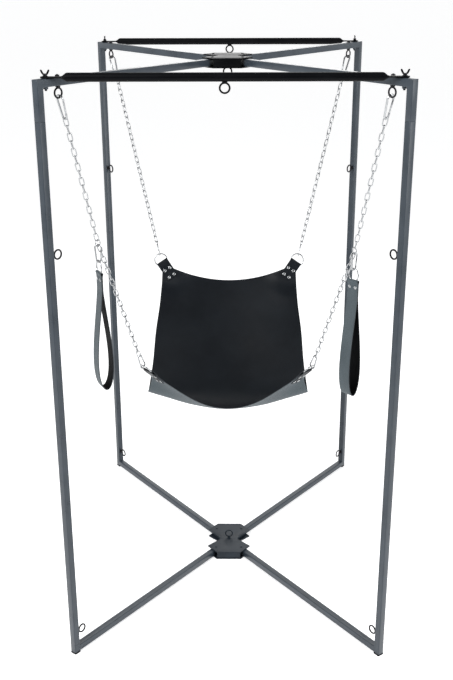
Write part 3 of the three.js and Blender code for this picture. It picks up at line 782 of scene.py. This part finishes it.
def snap_hook(size, tip, along, across, label, body, gate_body, node):
    length, wire, wide, narrow = size["length"], size["wire"], size["wide"], size["narrow"]
    tilt = math.asin((wide - narrow) / (length - wide - narrow))

    def flank(side, t):
        radius = wide + (narrow - wide) * t
        y0, y1 = wide * (1 + math.sin(tilt)), length - narrow * (1 - math.sin(tilt))
        return Vector((side * radius * math.cos(tilt), y0 + (y1 - y0) * t, 0))

    path = [flank(1, GATE_FROM), *arc(wide, wide, tilt, -math.pi - tilt, 22),
            *arc(length - narrow, narrow, math.pi - tilt, tilt, 18), flank(1, GATE_TO)]
    hook = bent_wire(path, wire)
    nose, heel = flank(1, GATE_FROM), flank(1, GATE_TO)
    run = (heel - nose).normalized()
    pin, half_pin = heel - run * wire * 0.4, Z * wire * 1.25
    knuckle = rod(pin - half_pin, pin + half_pin, 1.3 * MM, 16, 0.3 * MM)
    gate = rod(nose + run * NOSE_GAP, heel - run * wire * HEEL_GAP, wire * 0.85, 20, 0.5 * MM)
    side = (across - along * across.dot(along)).normalized()
    placed = Matrix.Translation(tip) @ Matrix((side, along, side.cross(along))).transposed().to_4x4()
    whole = paint(weld("hook", [hook, knuckle]), NICKEL)
    settle(carry(whole, placed), label + "_wire", body, "nickel", node + "_body")
    settle(carry(paint(gate, NICKEL), placed), label + "_latch", gate_body, "nickel", node + "_gate")
    return tip + along * length


# %% [markdown]
# ## Chain
# One link is a torus whose two halves are moved apart. Every link of a chain is a copy of it, turned a
# quarter round from its neighbour. A chain holds dozens of links, so each has few faces and gets its
# roundness from smooth shading.

# %% Chain
LINK_PITCH, LINK_WIRE, LINK_ROUND = 26 * MM, 2.0 * MM, 7.0 * MM
FRONT_ROLL = 0.0  # the front links lie so that the foot hooks' gates can open past them


def one_link():
    clear_selection()
    bpy.ops.mesh.primitive_torus_add(
        major_radius=LINK_ROUND, minor_radius=LINK_WIRE, major_segments=16, minor_segments=8)
    link = bpy.context.object
    stretch = LINK_PITCH / 2 + LINK_WIRE - LINK_ROUND
    for vertex in link.data.vertices:
        vertex.co.y += math.copysign(stretch, vertex.co.y) if abs(vertex.co.y) > 1e-6 else 0
    return link


def chain(start, end, roll=45.0):
    """Links from the point where the first one bears to the point where the last one does."""
    span = (end - start).length
    count = max(1, round(span / LINK_PITCH))
    pitch = span / count
    line = stand(start, end)
    links = []
    for i in range(count):
        link = one_link()
        turn = Matrix.Rotation(math.radians(roll + 90 * (i % 2)), 4, "Z")
        upright = Matrix.Rotation(math.pi / 2, 4, "X")
        links.append(carry(link, line @ Matrix.Translation((0, 0, (i + 0.5) * pitch)) @ turn @ upright))
    return links


# %% [markdown]
# ## Where the sling hangs
# The ring centres come from the boxes of the rings. A taut chain leaves an eye on the side it pulls
# towards, so the point of contact follows from the direction of the chain.

# %% Hanging points
RING_RADIUS, RING_WIRE = 26.5 * MM, 2.5 * MM
TAB_AIM = {"rear": Vector((-56, -23, -80)), "front": Vector((-59, 34, -73))}
TAB_FACE = {"rear": Vector((-4, -95, 30)), "front": Vector((-53, 52, 67))}
FOLD_DROP = 10.5 * MM
KINKS = {side: Vector(JOINTS[side + "_stirrup_swing"]["pos_m"]) for side in ("left", "right")}
HOOK_PLAY, OPEN_PLAY, LOOP_PLAY = 0.4 * MM, 3.0 * MM, 1.4 * MM
KINK_LINK = 12 * MM
BEARING = KINK_LINK - 2 * MM


def mirror_to(point, side):
    return Vector((side * point.x, point.y, point.z))


def centre_of(node):
    low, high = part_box(node)
    return (Vector(low) + Vector(high)) / 2


def hang(name, side, end):
    """Every point and direction that one corner of the sling hangs by."""
    ring = centre_of(name + "_sling_ring")
    kink = KINKS[name.split("_")[1]] if end == "front" else None
    down = mirror_to(TAB_AIM[end], side).normalized()
    face = mirror_to(TAB_FACE[end], side)
    face = (face - down * face.dot(down)).normalized()
    eye_centre = POSTS[name] + INWARD[name] * EYE_INSET + Z * (TOP - TUBE - 22.6 * MM)
    plane = INWARD[name].cross(Z).normalized()
    pull = ((kink or ring) - eye_centre).normalized()
    contact = eye_centre + (pull - plane * pull.dot(plane)).normalized() * EYE_RADIUS
    pull = (ring - (kink or contact)).normalized()
    ring_top = ring - (pull - face * pull.dot(face)).normalized() * RING_RADIUS
    low_way = (ring_top - (kink or contact)).normalized()
    top_way = (kink - contact).normalized() if kink else low_way
    return {"ring": ring, "kink": kink, "plane": plane, "contact": contact, "top_way": top_way,
            "ring_top": ring_top, "low_way": low_way, "down": down, "face": face,
            "fold": ring + down * FOLD_DROP}


HANGS = {name: hang(name, side, "front" if sy < 0 else "rear") for name, side, sy in CORNERS}
print("rear contact", tuple(round(c, 4) for c in HANGS["rear_right"]["contact"]))

# %% Chains, hooks and sling rings
for name, side, sy in CORNERS:
    at = HANGS[name]
    body = "front_chains" if sy < 0 else "rear_chains"
    top_tip = at["contact"] - at["top_way"] * (EYE_WIRE + UPPER_HOOK["wire"] + HOOK_PLAY)
    upper = name + "_upper_hook"
    chain_top = snap_hook(
        UPPER_HOOK, top_tip, at["top_way"], at["plane"], name + "_top_snap", body, upper + "_gate", upper)
    play = HOOK_PLAY + (OPEN_PLAY if sy < 0 else 0)
    low_tip = at["ring_top"] + at["low_way"] * (RING_WIRE + LOWER_HOOK["wire"] + play)
    lower = name + "_lower_hook"
    chain_low = snap_hook(
        LOWER_HOOK, low_tip, -at["low_way"], at["face"], name + "_low_snap", body, lower + "_gate", lower)
    start = chain_top - at["top_way"] * UPPER_HOOK["wire"]
    stop = chain_low + at["low_way"] * LOWER_HOOK["wire"]
    if at["kink"]:
        centre = at["kink"]
        links = (chain(start, centre - at["top_way"] * BEARING, FRONT_ROLL)
                 + chain(centre + at["low_way"] * BEARING, stop, FRONT_ROLL))
        links.append(hoop(centre, at["top_way"].cross(at["low_way"]), KINK_LINK, LINK_WIRE, 32, 10))
    else:
        links = chain(start, stop)
    strand = paint(weld("strand", links), NICKEL)
    settle(strand, name + "_chain_links", body, "nickel", name + "_chain", angle=80)
    ring = paint(hoop(at["ring"], at["face"], RING_RADIUS, RING_WIRE, 56, 14), NICKEL)
    settle(ring, name + "_o_ring", "sling", "nickel", name + "_sling_ring")
print("four chains of", LINK_PITCH, "m pitch")

# %% [markdown]
# ## The sling
# The seat is one flat piece of stiff leather that hangs by its corners. Its weight pulls it into a shallow
# trough: the sides run nearly straight, the middle sags, and the front turns up to its own two rings. The
# shape is a grid between two guide curves, the side edge and the middle line, and each cross line is a
# parabola between them, as a hanging sheet's is. Fine creases fan out from the loaded corners.

# %% Sling surface
SIDE_EDGE = [Vector(p) * MM for p in ((286, 302, 1213), (291, 180, 1087), (302, 50, 994), (308, -60, 899),
                                      (319, -165, 822), (315, -240, 860), (306, -300, 1000))]
MIDDLE_LINE = [Vector(p) * MM for p in ((0, 300, 1138), (0, 170, 988), (0, 40, 857), (0, -80, 772),
                                        (0, -190, 757), (0, -300, 801))]
HIDE_THICK = 2.6 * MM
TWIST_WHOLE, TWIST_NONE = 70 * MM, 165 * MM


def knots(points):
    """Centripetal spacing, so that the curve doesn't loop where its points crowd."""
    spots = [0.0]
    for a, b in zip(points, points[1:]):
        spots.append(spots[-1] + math.sqrt((b - a).length))
    return spots


def on_curve(points, t):
    """A smooth curve through the points. t counts the points, evenly from 0 to 1."""
    place = min(max(t, 0.0), 1.0) * (len(points) - 1)
    i = min(int(place), len(points) - 2)
    p1, p2 = points[i], points[i + 1]
    p0 = points[i - 1] if i else p1 * 2 - p2
    p3 = points[i + 2] if i + 2 < len(points) else p2 * 2 - p1
    s0, s1, s2, s3 = knots([p0, p1, p2, p3])
    s = s1 + (s2 - s1) * (place - i)
    a1 = p0 * ((s1 - s) / (s1 - s0)) + p1 * ((s - s0) / (s1 - s0))
    a2 = p1 * ((s2 - s) / (s2 - s1)) + p2 * ((s - s1) / (s2 - s1))
    a3 = p2 * ((s3 - s) / (s3 - s2)) + p3 * ((s - s2) / (s3 - s2))
    b1 = a1 * ((s2 - s) / (s2 - s0)) + a2 * ((s - s0) / (s2 - s0))
    b2 = a2 * ((s3 - s) / (s3 - s1)) + a3 * ((s - s1) / (s3 - s1))
    point = b1 * ((s2 - s) / (s2 - s1)) + b2 * ((s - s1) / (s2 - s1))
    slope = (b2 - b1) * (len(points) - 1)
    return point + slope * (t - min(max(t, 0.0), 1.0))


def sling_point(u, v):
    """A point of the hide, which twists flat into its tab near each corner."""
    edge, middle = on_curve(SIDE_EDGE, v), on_curve(MIDDLE_LINE, v)
    rise = u * u
    point = Vector((u * edge.x, middle.y + (edge.y - middle.y) * rise, middle.z + (edge.z - middle.z) * rise))
    for at in HANGS.values():
        far = min(max(((point - at["fold"]).length - TWIST_WHOLE) / (TWIST_NONE - TWIST_WHOLE), 0), 1)
        share = 1 - far * far * (3 - 2 * far)
        point -= at["face"] * share * (point - at["fold"]).dot(at["face"])
    return point


def grid_piece(name, rows):
    across = len(rows[0])
    faces = [(j * across + i, j * across + i + 1, (j + 1) * across + i + 1, (j + 1) * across + i)
             for j in range(len(rows) - 1) for i in range(across - 1)]
    mesh = bpy.data.meshes.new(name)
    mesh.from_pydata([p for row in rows for p in row], [], faces)
    piece = bpy.data.objects.new(name, mesh)
    bpy.context.collection.objects.link(piece)
    return piece


ACROSS, ALONG = 72, 84
EDGES = 1.06  # a wider copy of the hide, for the tabs' rays to meet past its edges


def hide_rows(spread):
    return [[sling_point(spread * (2 * i / ACROSS - 1), (j / ALONG - 0.5) * spread + 0.5)
             for i in range(ACROSS + 1)] for j in range(ALONG + 1)]


reach_sheet = grid_piece("reach", hide_rows(EDGES))
SHEET_TREE = BVHTree.FromObject(reach_sheet, bpy.context.evaluated_depsgraph_get())
bpy.data.objects.remove(reach_sheet)


# %% Trimmed corners
def tab_frame(at, end):
    """The tab's fold, the directions down it, across it and out of it, and where the hide is trimmed."""
    return at["fold"], at["down"], at["face"].cross(at["down"]), at["face"], CORNER_CUT[end]


CORNER_CUT = {"rear": 34 * MM, "front": 22 * MM}
CORNER_REACH = 120 * MM  # only faces this near a fold are trimmed
TABS = {name: tab_frame(HANGS[name], "front" if sy < 0 else "rear") for name, _, sy in CORNERS}
sling = grid_piece("sling", hide_rows(1.0))
for fold, down, _, _, cut in TABS.values():
    cut_away(sling, fold + down * cut, -down, CORNER_REACH)


# %% Creases, thickness and edges
CREASE_HIGH, CREASE_AT, CREASE_WIDE = 1.2 * MM, 140 * MM, 40 * MM
RIPPLE_HIGH, RIPPLE_FINE = 0.8 * MM, 9.0


def crease(point):
    """How far the hide is pushed out of its plane here."""
    lift = 0.0
    for fold, down, across, _, _ in TABS.values():
        away = point - fold
        far = away.length
        angle = math.atan2(away.dot(across), away.dot(down))
        lift += CREASE_HIGH * math.cos(7 * angle) * math.exp(-((far - CREASE_AT) / CREASE_WIDE) ** 2)
    return lift + RIPPLE_HIGH * noise.noise(point * RIPPLE_FINE)


only(sling)
bpy.ops.object.mode_set(mode="EDIT")
bpy.ops.mesh.select_all(action="SELECT")
bpy.ops.mesh.normals_make_consistent(inside=False)
bpy.ops.object.mode_set(mode="OBJECT")
if sum(p.normal.z for p in sling.data.polygons) < 0:
    sling.data.flip_normals()
lifts = [(v.co + v.normal * crease(v.co)).copy() for v in sling.data.vertices]
for vertex, place in zip(sling.data.vertices, lifts):
    vertex.co = place
# The underside gets the grey copy, whose lighter colour is painted sheen.
paint(sling, SMOOTH_HIDE, PAINTED_SHEEN_HIDE, CUT_EDGE)
apply_modifier(sling, "SOLIDIFY", thickness=HIDE_THICK, offset=0.0, material_offset=1, material_offset_rim=2)
apply_modifier(sling, "BEVEL", width=0.7 * MM, segments=2, angle_limit=math.radians(55))
settle(sling, "sling_hide", "sling", "leather", "sling_sheet", angle=50)

# %% [markdown]
# ## Tabs and rivets
# A strap 50 mm wide goes round each ring and closes over the corner like a book over a page, and four
# rivets go through all three layers. Each leaf is a grid that is laid on the sling by dropping rays onto
# it, so it follows the hide's curve, and it swings out round the ring at its fold.

# %% Tabs
TAB_WIDTH, TAB_LENGTH, TAB_THICK = 50 * MM, 82 * MM, 2.4 * MM
LEAF_STEPS, TAB_ACROSS = 28, 10
POCKET, CLOSED = 18 * MM, 32 * MM
RAY_FROM, RAY_LONG = 60 * MM, 120 * MM
TOUCH = 0.2 * MM


def on_sling(point, out):
    """The sling's height over a point of the tab's plane, or None where the ray meets nothing."""
    hit = SHEET_TREE.ray_cast(point + out * RAY_FROM, -out, RAY_LONG)[0]
    return (hit - point).dot(out) if hit else None


def tab_sheet(frame_of_tab):
    fold, down, across, out, cut = frame_of_tab
    clear = HIDE_THICK / 2 + TAB_THICK / 2 + TOUCH
    bow = RING_WIRE + TAB_THICK / 2 + TOUCH
    sides = [across * ((i / TAB_ACROSS - 0.5) * TAB_WIDTH) for i in range(TAB_ACROSS + 1)]
    heights = {}
    for i, aside in enumerate(sides):
        last = 0.0
        for s in range(LEAF_STEPS, -1, -1):
            far = s / LEAF_STEPS * TAB_LENGTH
            found = on_sling(fold + aside + down * far, out)
            last = found if found is not None and far > cut - 4 * MM else last * 0.8
            heights[i, s] = last
    rows = []
    for face in (1, -1):
        order = range(LEAF_STEPS, 0, -1) if face > 0 else range(1, LEAF_STEPS + 1)
        for s in order:
            far = s / LEAF_STEPS * TAB_LENGTH
            ease = min(max((far - POCKET) / (CLOSED - POCKET), 0.0), 1.0)
            gap = bow + (clear - bow) * ease * ease * (3 - 2 * ease)
            rows.append([fold + aside + down * far + out * (heights[i, s] + face * gap)
                         for i, aside in enumerate(sides)])
        if face > 0:
            for k in range(9):
                a = math.pi / 2 * (1 - k / 4)
                rows.append([fold + aside - down * (bow * math.cos(a)) + out * (bow * math.sin(a))
                             for aside in sides])
    return rows


def rivet(spot, out):
    """A flat head with a rolled rim and a small raised centre."""
    head = rod(spot - out * 1.0 * MM, spot + out * 0.8 * MM, 6.3 * MM, 28, 0.5 * MM)
    rim = hoop(spot + out * 0.8 * MM, out, 5.2 * MM, 1.0 * MM, 28, 8)
    stud = rod(spot, spot + out * 1.5 * MM, 1.9 * MM, 16, 0.5 * MM)
    return [head, rim, stud]


RIVET_ROWS = (38 * MM, 71 * MM)
RIVET_SPREAD = 12.5 * MM
for name, (fold, down, across, out, cut) in TABS.items():
    tab = grid_piece("tab", tab_sheet(TABS[name]))
    paint(tab, SMOOTH_HIDE, SMOOTH_HIDE, CUT_EDGE)
    apply_modifier(tab, "SOLIDIFY", thickness=TAB_THICK, offset=0.0, material_offset_rim=2)
    apply_modifier(tab, "BEVEL", width=0.6 * MM, segments=2, angle_limit=math.radians(55))
    heads = []
    for far in RIVET_ROWS:
        for w in (-RIVET_SPREAD, RIVET_SPREAD):
            base = fold + down * far + across * w
            height = on_sling(base, out) or 0.0
            for face in (1, -1):
                top = base + out * (height + face * (HIDE_THICK / 2 + TAB_THICK + TOUCH))
                heads += rivet(top, out * face)
    settle(tab, name + "_tab_fold", "sling", "leather", name + "_sling_tab", angle=50)
    settle(paint(weld("rivets", heads), NICKEL), name + "_tab_rivets", "sling", "nickel")
print("four tabs with", 8 * len(TABS), "rivet heads")

# %% [markdown]
# ## Foot loops
# A strap is bent into a teardrop, brought back on itself, folded round a ring and closed with two rivets.
# The drop's outline is one formula, wide at the bottom and closing to the doubled neck at the top.

# %% Foot loops
LOOP_RING, LOOP_WIRE = 22.5 * MM, 2.5 * MM
LOOP_WIDTH, LOOP_THICK = 48 * MM, 2.8 * MM
LOOP_HALF, LOOP_NECK = 28 * MM, 34 * MM
LOOP_RIVET_SPREAD, LOOP_RIVET_DROP = 13 * MM, 22 * MM
DROP_PEAK = 0.65  # the greatest value of sin(a) * sin(a / 2) ** 2
# The lowest point, then degrees from the round link's axis round to the hook's and to the strap's width.
LOOPS = {"left": (990 * MM, 35.0, 149.0), "right": (967 * MM, 0.0, 102.0)}


def drop_outline(ring_z, bottom):
    """The strap's middle line in its own plane, from the ring down one side and up the other."""
    neck = ring_z - LOOP_NECK
    height = neck - bottom - LOOP_THICK / 2
    bow = LOOP_WIRE + LOOP_THICK / 2 + 0.2 * MM
    side = []
    for i in range(7):
        a = math.radians(90 - 120 * i / 6)
        side.append((bow * math.cos(a), ring_z + bow * math.sin(a)))
    half_gap = LOOP_THICK / 2 + 0.15 * MM
    side += [(half_gap * 1.3, ring_z - 8 * MM), (half_gap, ring_z - 14 * MM), (half_gap, neck)]
    for i in range(2, 37):
        a = i * math.pi / 36
        x = LOOP_HALF * math.sin(a) * math.sin(a / 2) ** 2 / DROP_PEAK
        side.append((max(x, half_gap), neck - height * (1 - math.cos(a)) / 2))
    side[-1] = (0.0, bottom + LOOP_THICK / 2)
    return side + [(-x, z) for x, z in side[-2:0:-1]]


def foot_loop(ring_z, bottom):
    outline = drop_outline(ring_z, bottom)
    steps = 8
    rows = [[Vector((x, (i / steps - 0.5) * LOOP_WIDTH, z)) for i in range(steps + 1)]
            for x, z in outline + outline[:1]]
    strap = grid_piece("strap", rows)
    only(strap)
    bpy.ops.object.mode_set(mode="EDIT")
    bpy.ops.mesh.select_all(action="SELECT")
    bpy.ops.mesh.remove_doubles(threshold=1e-5)
    bpy.ops.mesh.normals_make_consistent(inside=False)
    bpy.ops.object.mode_set(mode="OBJECT")
    lowest = min(strap.data.polygons, key=lambda p: p.center.z)
    if lowest.normal.z > 0:
        strap.data.flip_normals()
    # Outer face: grey with painted sheen. Inner face: black, darkened further with painted shade inside the
    # loop.
    paint(strap, PAINTED_SHEEN_HIDE, PAINTED_SHADE_BLACK_HIDE, CUT_EDGE)
    apply_modifier(
        strap, "SOLIDIFY", thickness=LOOP_THICK, offset=0.0, material_offset=1, material_offset_rim=2)
    return apply_modifier(strap, "BEVEL", width=0.6 * MM, segments=2, angle_limit=math.radians(55))


def turned(axis, degrees):
    return Matrix.Rotation(math.radians(degrees), 3, "Z") @ Vector((axis.x, axis.y, 0)).normalized()


for side_name, (bottom, hook_turn, strap_turn) in LOOPS.items():
    hang_point = KINKS[side_name]
    at = HANGS["front_" + side_name]
    axis = at["top_way"].cross(at["low_way"])
    body = side_name + "_stirrup"
    hook_side = turned(axis, hook_turn)
    tip = hang_point - Z * (KINK_LINK - LINK_WIRE - LOWER_HOOK["wire"] - LOOP_PLAY)
    node = side_name + "_stirrup_hook"
    low = snap_hook(LOWER_HOOK, tip, -Z, hook_side, side_name + "_foot_snap", body, node + "_gate", node)
    ring_top = low + Z * (LOWER_HOOK["wire"] + HOOK_PLAY + LOOP_WIRE)
    ring_centre = ring_top - Z * LOOP_RING
    ring_face = turned(axis, strap_turn).cross(Z)
    ring = paint(hoop(ring_centre, ring_face, LOOP_RING, LOOP_WIRE, 48, 14), NICKEL)
    settle(ring, side_name + "_foot_ring", body, "nickel", side_name + "_stirrup_ring")
    wire_z = ring_centre.z - LOOP_RING
    turn = Matrix.Rotation(math.atan2(ring_face.y, ring_face.x), 4, "Z")
    placed = Matrix.Translation((hang_point.x, hang_point.y, 0)) @ turn
    strap = carry(foot_loop(wire_z, bottom), placed)
    settle(strap, side_name + "_foot_strap", body, "strap_leather", side_name + "_stirrup_strap", angle=50)
    heads = []
    for w in (-LOOP_RIVET_SPREAD, LOOP_RIVET_SPREAD):
        for face in (1, -1):
            heads += rivet(Vector((face * (LOOP_THICK + 0.15 * MM), w, wire_z - LOOP_RIVET_DROP)), X * face)
    rivets = carry(paint(weld("loop_rivets", heads), NICKEL), placed)
    settle(rivets, side_name + "_foot_rivets", body, "nickel")
print("two foot loops")

# %% [markdown]
# ## The sling's flat size
# The sling is one flat hide that hangs by its corners. The size that it was cut to is measured along its
# side edge and across its front edge. The tabs and the foot straps are stiff and keep the shape they were
# sewn in.

side_length = sum((on_curve(SIDE_EDGE, (i + 1) / 60) - on_curve(SIDE_EDGE, i / 60)).length for i in range(60))
front_width = sum((sling_point((i + 1) / 30 - 1, 1) - sling_point(i / 30 - 1, 1)).length for i in range(60))
[n + "_o_ring" for n in TABS]
print("flat", round(front_width, 3), "by", round(side_length, 3))
